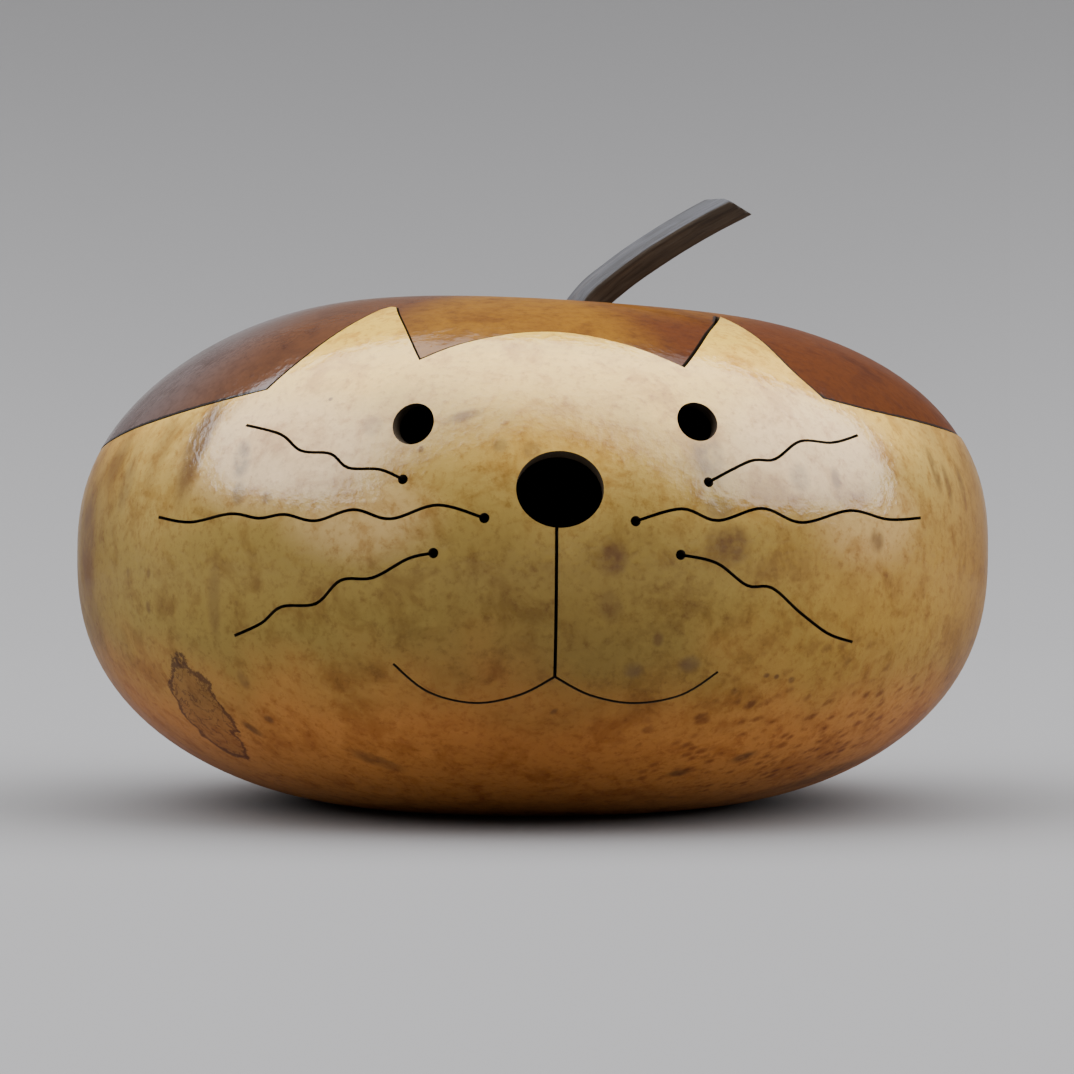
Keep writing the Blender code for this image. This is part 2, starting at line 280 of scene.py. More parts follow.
def saw_blade(name, line, width, closed, collection, material):
    """A thin solid that follows a line of places and stands square to the skin, through the wall."""
    bm = bmesh.new()
    outer = [bm.verts.new(skin_place(*at) + skin_normal(*at) * CUT_MARGIN) for at in line]
    edges = [bm.edges.new(pair) for pair in zip(outer, outer[1:])]
    if closed:
        edges.append(bm.edges.new((outer[-1], outer[0])))
    sunk = bmesh.ops.extrude_edge_only(bm, edges=edges)
    depth = WALL + 2 * CUT_MARGIN
    normals = {tuple(vert.co): skin_normal(*at) for vert, at in zip(outer, line)}
    for item in sunk["geom"]:
        if isinstance(item, bmesh.types.BMVert):
            item.co -= normals[tuple(item.co)] * depth
    bmesh.ops.triangulate(bm, faces=bm.faces)
    blade = new_object(name, mesh_from_bmesh(name, bm), collection)
    blade.data.materials.append(material)
    solid = blade.modifiers.new("Width", "SOLIDIFY")
    solid.thickness = width
    solid.offset = 0.0
    solid.use_even_offset = True
    return blade


def drill(name, place, facing, width, height, vertices, collection, material):
    """A cylinder through the wall at a place of the skin, pointing along a direction."""
    bm = bmesh.new()
    bmesh.ops.create_cone(bm, cap_ends=True, segments=vertices, radius1=0.5, radius2=0.5, depth=1.0)
    bit = new_object(name, mesh_from_bmesh(name, bm), collection)
    bit.data.materials.append(material)
    turn = facing.to_track_quat("Z", "Y").to_matrix().to_4x4()
    size = Matrix.Diagonal((width, height, 2 * DRILL_DEPTH, 1.0))
    bit.matrix_world = Matrix.Translation(skin_place(*place)) @ turn @ size
    return bit


def face_cutters(collection, material):
    """The drills of the eyes, the nose and the whiskers' dots, and the blades of all the slits."""
    for name, (place, aim) in (("left_eye", LEFT_EYE), ("right_eye", RIGHT_EYE)):
        drill(name, place, direction(*aim), EYE_DIAMETER, EYE_DIAMETER,
              DRILL_VERTICES, collection, material)
    place, aim = NOSE
    drill("nose", place, direction(*aim), NOSE_WIDTH, NOSE_HEIGHT, DRILL_VERTICES, collection, material)
    for index, whisker in enumerate(WHISKERS):
        line = smooth_line(whisker)
        saw_blade(f"whisker_{index}", line, WHISKER_SLIT, False, collection, material)
        drill(f"whisker_dot_{index}", whisker[0], skin_normal(*whisker[0]), WHISKER_DOT, WHISKER_DOT,
              DOT_VERTICES, collection, material)
    saw_blade("lip_slit", smooth_line(LIP_SLIT), MOUTH_SLIT, False, collection, material)
    for name, smile in (("left_smile", LEFT_SMILE), ("right_smile", RIGHT_SMILE)):
        saw_blade(name, smooth_line(smile), SMILE_SLIT, False, collection, material)


def lid_line():
    """The whole saw line as one closed loop of places, without a doubled point at its corners."""
    stretches = (LEFT_EAR_OUTER_EDGE, LEFT_EAR_TIP, LEFT_EAR_INNER_EDGE, FOREHEAD,
                 RIGHT_EAR_INNER_EDGE, RIGHT_EAR_OUTER_EDGE, LID_BACK_EDGE)
    line = []
    for stretch in stretches:
        line += smooth_line(stretch, LID_LINE_STEP)[:-1]
    return line


def cut_with(item, name, **settings):
    """Adds an exact Boolean difference whose cut faces take the cutter's material."""
    cut = item.modifiers.new(name, "BOOLEAN")
    cut.operation = "DIFFERENCE"
    cut.solver = "EXACT"
    cut.material_mode = "TRANSFER"
    for key, value in settings.items():
        setattr(cut, key, value)
    return cut


def evaluated_mesh(item):
    """A copy of the object's mesh as its modifiers leave it."""
    graph = bpy.context.evaluated_depsgraph_get()
    return bpy.data.meshes.new_from_object(item.evaluated_get(graph))


def loose_parts(mesh):
    """Splits a mesh into its separate bodies, each a bmesh, highest first."""
    bm = bmesh.new()
    bm.from_mesh(mesh)
    left = set(bm.verts)
    groups = []
    while left:
        reached = [left.pop()]
        group = set(reached)
        while reached:
            for edge in reached.pop().link_edges:
                for vert in edge.verts:
                    if vert in left:
                        left.remove(vert)
                        group.add(vert)
                        reached.append(vert)
        groups.append({vert.index for vert in group})
    bm.free()
    groups.sort(key=lambda group: -max(mesh.vertices[index].co.z for index in group))
    parts = []
    for group in groups:
        part = bmesh.new()
        part.from_mesh(mesh)
        others = [vert for vert in part.verts if vert.index not in group]
        bmesh.ops.delete(part, geom=others, context="VERTS")
        parts.append(part)
    return parts


def smooth_like_skin(mesh, skin, skin_slot):
    """Gives the skin's faces the uncut gourd's smooth normals, so that cuts leave no shading marks."""
    bm = bmesh.new()
    bm.from_mesh(skin)
    tree = BVHTree.FromBMesh(bm)
    bm.faces.ensure_lookup_table()
    normals = []
    for polygon in mesh.polygons:
        polygon.use_smooth = True
        for loop in polygon.loop_indices:
            if polygon.material_index != skin_slot:
                normals.append(polygon.normal.copy())
                continue
            place = mesh.vertices[mesh.loops[loop].vertex_index].co
            near, _, face, _ = tree.find_nearest(place)
            corners = bm.faces[face].verts
            weights = barycentric(near, *(corner.co for corner in corners))
            normal = sum((corner.normal * weight for corner, weight in zip(corners, weights)), Vector())
            normals.append(normal.normalized())
    bm.free()
    mesh.normals_split_custom_set(normals)


def barycentric(point, a, b, c):
    """Shares of a triangle's three corners at a point in it."""
    whole = (b - a).cross(c - a)
    area = whole.length_squared
    share_b = (point - a).cross(c - a).dot(whole) / area
    share_c = (b - a).cross(point - a).dot(whole) / area
    return 1 - share_b - share_c, share_b, share_c


def mark_rim(mesh, skin_slot):
    """Stores how far each vertex lies from the sawn rim, where the skin meets another slot."""
    slots = {}
    for polygon in mesh.polygons:
        for pair in polygon.edge_keys:
            slots.setdefault(pair, set()).add(polygon.material_index == skin_slot)
    rim = []
    for (first, second), kinds in slots.items():
        if len(kinds) == 2:
            start, end = mesh.vertices[first].co, mesh.vertices[second].co
            steps = max(1, math.ceil((end - start).length / RIM_STEP))
            rim += [start.lerp(end, step / steps) for step in range(steps + 1)]
    tree = KDTree(len(rim))
    for index, place in enumerate(rim):
        tree.insert(place, index)
    tree.balance()
    far = mesh.attributes.new(RIM_DISTANCE, "FLOAT", "POINT")
    far.data.foreach_set("value", [tree.find(vert.co)[2] for vert in mesh.vertices])


def mark_fibres(mesh):
    """Stores each vertex's place along and across the stem, so that its fibres follow its curve."""
    path = [Vector(place) for place in STEM_PATH]
    run = [0.0]
    for first, second in zip(path, path[1:]):
        run.append(run[-1] + (second - first).length)
    places = []
    for vert in mesh.vertices:
        nearest = None
        for start, end, before in zip(path, path[1:], run):
            foot, share = intersect_point_line(vert.co, start, end)
            share = max(0.0, min(1.0, share))
            foot = start.lerp(end, share)
            far = (vert.co - foot).length
            if nearest is None or far < nearest:
                nearest = far
                tangent = (end - start).normalized()
                across = (vert.co - foot).dot(Vector((-tangent.z, 0.0, tangent.x)))
                along = before + share * (end - start).length
        places += [along * FIBRE_STRETCH, across, vert.co.y]
    mesh.attributes.new(FIBRE_PLACE, "FLOAT_VECTOR", "POINT").data.foreach_set("vector", places)


# Materials

# Sockets of the mix node that hold colours; its other sockets share their names
MIX_FIRST_COLOUR = 6
MIX_SECOND_COLOUR = 7
MIX_RESULT_COLOUR = 2


class Shader:
    """A material whose nodes are made by short calls; an input is a number, a colour or a socket."""

    def __init__(self, name):
        self.material = bpy.data.materials.new(name)
        self.material.use_nodes = True
        self.tree = self.material.node_tree
        self.surface = self.tree.nodes["Principled BSDF"]

    def set(self, socket, value):
        if isinstance(value, bpy.types.NodeSocket):
            self.tree.links.new(value, socket)
        elif socket.type == "RGBA" and len(value) == 3:
            socket.default_value = (*value, 1.0)
        else:
            socket.default_value = value

    def finish(self, **inputs):
        for name, value in inputs.items():
            self.set(self.surface.inputs[name.replace("_", " ")], value)
        return self.material

    def coordinates(self, kind):
        return self.tree.nodes.new("ShaderNodeTexCoord").outputs[kind]

    def place(self):
        return self.coordinates("Object")

    def math(self, operation, first, second=0.0):
        node = self.tree.nodes.new("ShaderNodeMath")
        node.operation = operation
        self.set(node.inputs[0], first)
        self.set(node.inputs[1], second)
        return node.outputs[0]

    def plus(self, first, second):
        return self.math("ADD", first, second)

    def times(self, first, second):
        return self.math("MULTIPLY", first, second)

    def off(self, value, middle):
        """How far the value lies from a middle, on either side of it."""
        return self.math("ABSOLUTE", self.math("SUBTRACT", value, middle))

    def swayed(self, value, noise, reach):
        """The value, moved up or down by a noise."""
        return self.plus(value, self.times(self.math("SUBTRACT", noise, 0.5), reach))

    def attribute(self, name, output="Fac"):
        node = self.tree.nodes.new("ShaderNodeAttribute")
        node.attribute_name = name
        return node.outputs[output]

    def join(self, x, y, z):
        node = self.tree.nodes.new("ShaderNodeCombineXYZ")
        for socket, value in zip(node.inputs, (x, y, z)):
            self.set(socket, value)
        return node.outputs[0]

    def split(self, vector):
        node = self.tree.nodes.new("ShaderNodeSeparateXYZ")
        self.set(node.inputs[0], vector)
        return node.outputs

    def noise(self, vector, scale, detail=3.0, roughness=0.5, distortion=0.0):
        node = self.tree.nodes.new("ShaderNodeTexNoise")
        for name, value in (("Vector", vector), ("Scale", scale), ("Detail", detail),
                            ("Roughness", roughness), ("Distortion", distortion)):
            self.set(node.inputs[name], value)
        return node.outputs["Fac"]

    def band(self, value, low, high, out_low=0.0, out_high=1.0):
        """A smooth step from out_low to out_high as the value goes from low to high."""
        node = self.tree.nodes.new("ShaderNodeMapRange")
        node.interpolation_type = "SMOOTHSTEP"
        for socket, number in zip(node.inputs, (value, low, high, out_low, out_high)):
            self.set(socket, number)
        return node.outputs[0]

    def mix(self, share, first, second, blend="MIX"):
        node = self.tree.nodes.new("ShaderNodeMix")
        node.data_type = "RGBA"
        node.blend_type = blend
        self.set(node.inputs["Factor"], share)
        self.set(node.inputs[MIX_FIRST_COLOUR], first)
        self.set(node.inputs[MIX_SECOND_COLOUR], second)
        return node.outputs[MIX_RESULT_COLOUR]

    def tint(self, share, colour, tint):
        """The colour, multiplied by a tint as far as the share goes."""
        return self.mix(share, colour, tint, "MULTIPLY")

    def bump(self, height, distance, strength=1.0):
        node = self.tree.nodes.new("ShaderNodeBump")
        self.set(node.inputs["Height"], height)
        node.inputs["Distance"].default_value = distance
        node.inputs["Strength"].default_value = strength
        return node.outputs[0]

    def bearing_and_rise(self, place):
        """The same two angles that place the cuts, in degrees."""
        x, y, z = self.split(place)
        bearing = self.math("ARCTAN2", x, self.times(y, -1.0))
        level = self.math("SQRT", self.plus(self.times(x, x), self.times(y, y)))
        rise = self.math("ARCTAN2", self.math("SUBTRACT", z, HEART_HEIGHT), level)
        return self.math("DEGREES", bearing), self.math("DEGREES", rise)

    def spot(self, angles, mark, edge=0.5):
        """A mark of the skin as an oval whose edge is soft over a share of its radii."""
        at, radii, turn, strength = mark
        return self.band(self.far_from(angles, at, radii, turn), 1.0 + edge, 1.0 - edge, 0.0, strength)

    def seen_from(self, angles, at, radii, turn):
        """The two angles of a place, as measured along the radii of an oval from its middle."""
        node = self.tree.nodes.new("ShaderNodeMapping")
        node.vector_type = "TEXTURE"
        self.set(node.inputs["Vector"], angles)
        node.inputs["Location"].default_value = (*at, 0.0)
        node.inputs["Rotation"].default_value = (0.0, 0.0, math.radians(turn))
        node.inputs["Scale"].default_value = (*radii, 1.0)
        return node.outputs[0]

    def far_from(self, angles, at, radii, turn):
        """How far a place lies from the middle of an oval, in radii of that oval."""
        node = self.tree.nodes.new("ShaderNodeVectorMath")
        node.operation = "LENGTH"
        self.set(node.inputs[0], self.seen_from(angles, at, radii, turn))
        return node.outputs["Value"]

    def cells(self, vector, scale, randomness):
        """Distance to the middle of the nearest cell, and a number that differs from cell to cell."""
        node = self.tree.nodes.new("ShaderNodeTexVoronoi")
        for name, value in (("Vector", vector), ("Scale", scale), ("Randomness", randomness)):
            self.set(node.inputs[name], value)
        return node.outputs["Distance"], self.split(node.outputs["Color"])[0]

    def all_spots(self, angles, marks):
        """The strongest of several spots at each place."""
        cover = 0.0
        for mark in marks:
            cover = self.math("MAXIMUM", self.spot(angles, mark), cover)
        return cover


# Marks of the skin, each with its place, its two radii, its turn and its strength
# Painted highlights: the pale areas on the cheeks and below the left eye
CHEEK_HIGHLIGHT_AREAS = [
    ((-31.0, 12.0), (13.0, 6.5), 0, 0.50), ((-20.0, 4.0), (8.0, 4.5), 0, 0.26),
    ((34.0, 12.5), (12.0, 6.5), 0, 0.55), ((42.0, 4.0), (8.0, 5.0), 0, 0.22),
]
TAN_AREAS = [((3.0, 12.6), (12.0, 3.6), 0, 0.65), ((26.0, 6.0), (5.0, 3.0), 0, 0.3)]
BROWN_SPOTS = [
    ((8.5, -0.7), (1.5, 1.7), 0, 0.80), ((21.8, 0.8), (2.3, 2.1), 0, 0.85),
    ((42.9, 1.2), (1.1, 1.2), 0, 0.65), ((13.9, -9.7), (0.6, 0.8), 0, 0.6),
    ((8.3, -5.9), (1.2, 1.6), 20, 0.4), ((37.1, 8.3), (0.7, 1.2), 0, 0.5),
    ((-8.5, 15.6), (2.2, 0.7), 18, 0.6), ((-13.0, 11.5), (0.3, 0.4), 0, 0.8),
    ((2.3, -18.6), (0.5, 0.3), 40, 0.6), ((-31.6, 6.1), (0.7, 0.7), 0, 0.5),
    ((-40.3, -22.2), (1.4, 0.7), -45, 0.7), ((-26.1, 18.2), (0.3, 0.25), 0, 0.8),
    ((-36.2, -20.4), (0.7, 0.6), -30, 0.6), ((-37.2, -14.9), (0.8, 1.1), 0, 0.45),
    ((-22.8, -27.3), (3.4, 1.2), -28, 0.6), ((57.3, 9.8), (0.9, 2.6), 0, 0.6),
    ((60.0, 7.9), (0.8, 2.3), 0, 0.55), ((64.8, 7.7), (0.9, 2.4), 0, 0.55),
    ((28.3, -14.2), (0.4, 0.3), 0, 0.8), ((29.8, -14.4), (0.35, 0.3), 0, 0.8),
    ((32.1, -14.9), (0.5, 0.4), 0, 0.75), ((-50.8, -2.5), (0.4, 0.6), 0, 0.5),
    ((-55.5, -2.5), (0.4, 0.6), 0, 0.5), ((-51.4, -6.5), (0.4, 0.7), 0, 0.6),
    ((22.0, -30.0), (1.6, 0.8), 10, 0.7), ((31.0, -27.0), (1.8, 0.9), 24, 0.7),
    ((59.0, -34.0), (10.0, 3.0), 22, 0.6), ((150.0, -12.0), (2.0, 1.6), 0, 0.7),
    ((-128.0, 4.0), (1.4, 1.8), 0, 0.6), ((172.0, 6.0), (1.0, 1.4), 0, 0.6),
]
BROWN_SMEARS = [
    ((-44.6, 12.3), (1.9, 6.2), -5, 0.85), ((-63.5, 12.0), (2.2, 3.6), 0, 0.45),
    ((-70.0, 0.5), (3.6, 6.5), 0, 0.80), ((-69.0, -9.0), (3.0, 4.0), 0, 0.35),
    ((-39.2, -5.5), (0.9, 4.4), -6, 0.40), ((-52.0, 12.0), (1.8, 4.5), 0, 0.35),
    ((118.0, -6.0), (3.5, 8.0), 10, 0.6), ((-150.0, -10.0), (5.0, 4.0), 30, 0.5),
]
GREY_SPOTS = [
    ((-36.3, 10.6), (1.2, 2.1), 10, 0.75), ((-35.7, 6.6), (0.9, 1.3), 0, 0.65),
    ((-19.4, 14.5), (1.4, 1.2), -30, 0.35), ((20.2, 10.6), (1.7, 3.0), 0, 0.6),
    ((20.8, 4.7), (1.7, 1.2), 0, 0.5), ((-0.3, 11.4), (0.9, 0.9), 0, 0.6),
    ((-3.9, 11.9), (0.8, 0.8), 0, 0.5), ((11.3, -13.3), (1.0, 0.9), 0, 0.5),
    ((18.0, -12.6), (1.2, 0.9), 0, 0.55), ((31.8, 8.4), (1.3, 1.6), 0, 0.4),
    ((-58.0, 8.0), (1.6, 3.0), 0, 0.35),
]
STAIN_PLACE, STAIN_RADII, STAIN_TURN = (-48.5, -20.4), (4.6, 7.8), -11
STAIN_FILL = 0.34
SPECKLE_PLACE, SPECKLE_RADII, SPECKLE_TURN = (38.0, -23.5), (26.0, 12.5), 8
SHADED_CHIN = ((1.0, -18.0), (15.5, 20.0), -8, 0.5)
BLOTCHED_CHEEK = ((24.0, -9.0), (21.0, 12.0), -10, 1.0)
AMBER_FRONT = ((-3.0, 33.0), (20.0, 30.0), 0, 0.9)
AMBER_CREST = ((24.0, 52.0), (40.0, 13.0), 0, 0.45)
LID_LEFT_SHEEN = ((-77.0, 26.0), (25.0, 24.0), 0, 1.0)
LID_SPECK = ((-69.9, 21.1), (0.3, 0.3), 0, 0.8)

# Dashes of the speckled area: their radii and turn, and how the cells that hold them vary
DASH_RADII = (2.2, 1.35)
DASH_TURN = 24
DASH_RANDOMNESS = 0.95
DASH_SWAY = 0.7
DASH_SHRINK = 0.16
SPECKLE_THINNING = 0.55

# How far noises move a colour's height in degrees, the stain's outline in radii, the rim line in
# metres, and the stem's turn from brown to grey
HEIGHT_SWAY = 18.0
STAIN_SWAY = 1.1
RIM_SWAY = 0.00132
STREAK_SWAY = 0.3

# What vertices carry for the materials: their distance from the lid's rim, found in short steps along
# it, and their place in the stem, with its length squeezed so that noises draw out into fibres
RIM_STEP = 0.0002
RIM_DISTANCE = "distance_from_rim"
FIBRE_PLACE = "place_along_fibre"
FIBRE_STRETCH = 0.05

# Noises, each with its scale, detail, roughness and, where it has one, its distortion
BROAD_HOLLOWS = (24.0, 3.0, 0.55, 0.3)
SLOW_HOLLOWS = (95.0, 3.0, 0.5)
FINE_LEATHER = (560.0, 3.0, 0.55)
GRAIN = (560.0, 5.0, 0.7)
SKIN_CLOUD = (75.0, 5.0, 0.65, 0.5)
SKIN_MOTTLE = (190.0, 4.0, 0.65, 0.3)
LID_CLOUD = (55.0, 5.0, 0.6, 0.5)
LID_MOTTLE = (210.0, 4.0, 0.65)
BLOTCHES = (170.0, 4.0, 0.6)
SPOT_RAGGED = (240.0, 3.0, 0.6)
STAIN_RAGGED = (170.0, 5.0, 0.7)
STAIN_VEINS = (230.0, 4.0, 0.6, 0.6)
DASH_RAGGED = (420.0, 3.0, 0.6)
RIM_RAGGED = (620.0, 4.0, 0.7)
PITH_FIBRE = (160.0, 6.0, 0.7, 1.2)
CUT_LAYERS = (700.0, 4.0, 0.6)
STEM_FIBRE = (1300.0, 4.0, 0.6)
STEM_STREAK = (420.0, 3.0, 0.6)
STEM_TONE = (110.0, 3.0, 0.5)

# Fades, each with where it starts and ends and, where it isn't from 0 to 1, its first and last value.
# By rise, or by height, which is the rise swayed by a noise, in degrees:
FOOT_FADE = (-25.0, -7.0)
RIGHT_HEIGHT_FADE = (-20.0, -8.0, 0.0, 0.8)
UPPER_FADE = (-2.0, 12.0)
FOREHEAD_FADE = (8.0, 24.0)
EAR_FADE = (23.0, 32.0, 0.0, 0.85)
VARNISH_RISE_FADE = (-8.0, 6.0, 0.3, 0.8)
# By bearing, or by its size alone, in degrees:
RIGHT_FADE = (14.0, 45.0)
RIGHT_BACK_FADE = (170.0, 120.0)
SIDE_SHADE_FADE = (52.0, 76.0, 0.0, 0.85)
VARNISH_SIDE_FADE = (45.0, 70.0, 1.0, 0.6)
RIM_BEARING_FADE = (36.0, 39.0, 0.0, 0.92)
# By the distance from the lid's rim, then by the place to the right of the middle, in metres:
RIM_LINE_FADE = (0.00078, 0.00042)
LID_SIDE_FADE = (-0.03, 0.03)
LID_VARNISH_FADE = (-0.075, 0.02, 0.75, 0.22)
# By the distance from a mark's outline or its middle in radii, or from a dash's middle in cells:
STAIN_OUTLINE_FADE = (0.13, 0.03, 0.0, 0.9)
STAIN_INSIDE_FADE = (1.05, 0.9)
DASH_FADE = (0.60, 0.12)
SPECKLE_FADE = (1.45, 0.75, 0.0, 0.85)
# By the value of a noise, and for the stem by how far it faces up:
TAN_CLOUDING = (0.32, 0.58, 0.4, 1.0)
SMEAR_CLOUDING = (0.3, 0.55, 0.45, 1.0)
AMBER_CLOUDING = (0.25, 0.6, 0.7, 1.0)
BLOTCH_FADE = (0.47, 0.68, 0.0, 0.6)
SPOT_RAGGED_FADE = (0.25, 0.6, 0.35, 1.0)
STAIN_VEIN_FADE = (0.034, 0.008, 0.0, 0.75)
WEATHERING_AND_SHEEN_FADE = (0.40, 0.62)

# Colours
# Foot orange: partly the skin's own orange, partly a painted warm reflection from the surface below
FOOT_ORANGE_AND_REFLECTION = (0.560, 0.220, 0.045)
MIDDLE_OLIVE = (0.262, 0.172, 0.034)
RIGHT_GOLD = (0.375, 0.205, 0.032)
UPPER_GOLD = (0.44, 0.285, 0.068)
# Forehead cream: partly the skin's paler top, partly a painted highlight
FOREHEAD_CREAM_AND_HIGHLIGHT = (0.90, 0.550, 0.10)
# Pale cream of the painted highlights on the cheeks
HIGHLIGHT_CREAM = (0.95, 0.63, 0.30)
EAR_YELLOW = (0.74, 0.46, 0.05)
SOFT_TAN = (0.52, 0.30, 0.05)
SPOT_BROWN = (0.085, 0.030, 0.010)
SMEAR_BROWN = (0.110, 0.048, 0.014)
SPOT_GREY = (0.120, 0.070, 0.034)
LID_LEFT_BROWN = (0.104, 0.034, 0.007)
LID_RIGHT_RED = (0.092, 0.022, 0.001)
LID_AMBER = (0.235, 0.100, 0.003)
# Grey of the painted sheen on the lid's left
SHEEN_GREY = (0.122, 0.086, 0.077)
SPECK_BLACK = (0.012, 0.006, 0.005)
RIM_BLACK = (0.012, 0.008, 0.006)
PITH_PALE = (0.26, 0.165, 0.08)
PITH_BROWN = (0.13, 0.08, 0.04)
# The cut edge's near-black browns are painted shade inside the holes, slits and saw cut
CUT_BROWN = (0.085, 0.058, 0.034)
CUT_BLACK = (0.030, 0.021, 0.012)
STEM_BROWNS = ((0.040, 0.028, 0.017), (0.090, 0.062, 0.036))
STEM_GREYS = ((0.030, 0.030, 0.034), (0.082, 0.081, 0.088))

# Tints that a colour is multiplied by
SHADE_TINT = (0.60, 0.51, 0.44)
# The side tint is painted shade on the gourd's flanks
SIDE_SHADE_TINT = (0.62, 0.49, 0.33)
BLOTCH_TINT = (0.62, 0.50, 0.38)
STAIN_TINT = (0.22, 0.15, 0.18)
SPECKLE_TINT = (0.46, 0.34, 0.30)

# Mottling, step by step: its noise, where the fade starts and ends, its strength and its tint
SKIN_MOTTLING = [
    ("cloud", 0.48, 0.66, 0.85, (0.72, 0.62, 0.46)),
    ("mottle", 0.50, 0.70, 0.75, (0.74, 0.62, 0.48)),
    ("mottle", 0.45, 0.28, 0.5, (1.16, 1.20, 1.28)),
    ("grain", 0.48, 0.72, 0.75, (0.66, 0.54, 0.42)),
]
LID_MOTTLING = [
    ("cloud", 0.50, 0.70, 0.8, (0.60, 0.50, 0.45)),
    ("mottle", 0.46, 0.70, 0.6, (0.66, 0.58, 0.52)),
    ("grain", 0.42, 0.70, 0.6, (0.62, 0.54, 0.50)),
]
STEM_MOTTLING = [
    ("streak", 0.48, 0.62, 0.8, (0.50, 0.47, 0.42)),
    ("streak", 0.44, 0.34, 0.7, (1.5, 1.4, 1.3)),
    ("fibre", 0.46, 0.66, 0.75, (0.50, 0.46, 0.42)),
]

# Surface of the skin: its relief, its own dull gloss and the varnish over it
LEATHER_SHARES = (0.35, 0.22, 0.10)
RELIEF_DEPTH = 0.001
SKIN_ROUGHNESS = 0.6
SKIN_GLOSS = 0.05
VARNISH_IOR = 1.6
BODY_VARNISH_ROUGHNESS = 0.11
LID_VARNISH_ROUGHNESS = 0.12


def leather(shader, place, broad):
    """Height of the skin's slow hollows and of the fine leathery grain that breaks up its reflections."""
    height = 0.0
    noises = (broad, shader.noise(place, *SLOW_HOLLOWS), shader.noise(place, *FINE_LEATHER))
    for noise, share in zip(noises, LEATHER_SHARES):
        height = shader.plus(height, shader.times(noise, share))
    return height


def mottled(shader, colour, noises, mottling):
    """Tints the colour once for each step, as far as its noise has gone through that step's fade."""
    for name, start, end, strength, tint in mottling:
        colour = shader.tint(shader.band(noises[name], start, end, 0.0, strength), colour, tint)
    return colour


def varnished(shader, place, broad, colour, varnish, roughness):
    """Ends a skin material: the colour under a coat of varnish that follows the leathery relief."""
    relief = shader.bump(leather(shader, place, broad), RELIEF_DEPTH)
    return shader.finish(Base_Color=colour, Roughness=SKIN_ROUGHNESS, Specular_IOR_Level=SKIN_GLOSS,
                         Coat_Weight=varnish, Coat_Roughness=roughness, Coat_IOR=VARNISH_IOR,
                         Coat_Normal=relief, Normal=relief)


def gourd_skin():
    """Golden dry skin under varnish, with its marks; the forehead's cream is partly a painted highlight,
    the orange-brown below is partly a painted warm reflection, and the skin carries painted highlights on
    the cheeks and painted shade on the flanks.
    """
    shader = Shader("gourd_skin_varnished")
    place = shader.place()
    bearing, rise = shader.bearing_and_rise(place)
    angles = shader.join(bearing, rise, 0.0)
    off_front = shader.math("ABSOLUTE", bearing)
    broad = shader.noise(place, *BROAD_HOLLOWS)
    cloud = shader.noise(place, *SKIN_CLOUD)
    mottle = shader.noise(place, *SKIN_MOTTLE)
    noises = {"cloud": cloud, "mottle": mottle, "grain": shader.noise(place, *GRAIN)}

    height = shader.swayed(rise, broad, HEIGHT_SWAY)
    # Orange towards the foot: partly the skin's own tone, partly a painted warm reflection from below
    colour = shader.mix(shader.band(height, *FOOT_FADE), FOOT_ORANGE_AND_REFLECTION, MIDDLE_OLIVE)
    right = shader.times(shader.band(bearing, *RIGHT_FADE), shader.band(bearing, *RIGHT_BACK_FADE))
    right = shader.times(right, shader.band(height, *RIGHT_HEIGHT_FADE))
    colour = shader.mix(right, colour, RIGHT_GOLD)
    colour = shader.tint(shader.spot(angles, SHADED_CHIN, edge=0.78), colour, SHADE_TINT)
    colour = shader.mix(shader.band(height, *UPPER_FADE), colour, UPPER_GOLD)
    # Cream towards the forehead: partly the skin's paler top, partly a painted highlight
    colour = shader.mix(shader.band(height, *FOREHEAD_FADE), colour, FOREHEAD_CREAM_AND_HIGHLIGHT)
    # Painted highlight: pale cream areas on the cheeks and below the left eye
    colour = shader.mix(shader.all_spots(angles, CHEEK_HIGHLIGHT_AREAS), colour, HIGHLIGHT_CREAM)
    colour = shader.mix(shader.band(rise, *EAR_FADE), colour, EAR_YELLOW)
    tan = shader.times(shader.all_spots(angles, TAN_AREAS), shader.band(cloud, *TAN_CLOUDING))
    colour = shader.mix(tan, colour, SOFT_TAN)
    # Painted shade: the skin darkened towards the left and right flanks
    colour = shader.tint(shader.band(off_front, *SIDE_SHADE_FADE), colour, SIDE_SHADE_TINT)
    colour = mottled(shader, colour, noises, SKIN_MOTTLING)

    cheek = shader.spot(angles, BLOTCHED_CHEEK, edge=0.6)
    blotch = shader.band(shader.noise(place, *BLOTCHES), *BLOTCH_FADE)
    colour = shader.tint(shader.times(cheek, blotch), colour, BLOTCH_TINT)
    ragged = shader.band(shader.noise(place, *SPOT_RAGGED), *SPOT_RAGGED_FADE)
    brown = shader.times(shader.all_spots(angles, BROWN_SPOTS), ragged)
    colour = shader.mix(brown, colour, SPOT_BROWN)
    smear = shader.times(shader.all_spots(angles, BROWN_SMEARS), shader.band(cloud, *SMEAR_CLOUDING))
    colour = shader.mix(smear, colour, SMEAR_BROWN)
    grey = shader.times(shader.all_spots(angles, GREY_SPOTS), ragged)
    colour = shader.mix(grey, colour, SPOT_GREY)
    colour = shader.tint(stain(shader, angles, place), colour, STAIN_TINT)
    colour = shader.tint(speckles(shader, angles, place), colour, SPECKLE_TINT)

    varnish = shader.band(off_front, *VARNISH_SIDE_FADE)
    varnish = shader.times(shader.band(rise, *VARNISH_RISE_FADE), varnish)
    return varnished(shader, place, broad, colour, varnish, BODY_VARNISH_ROUGHNESS)


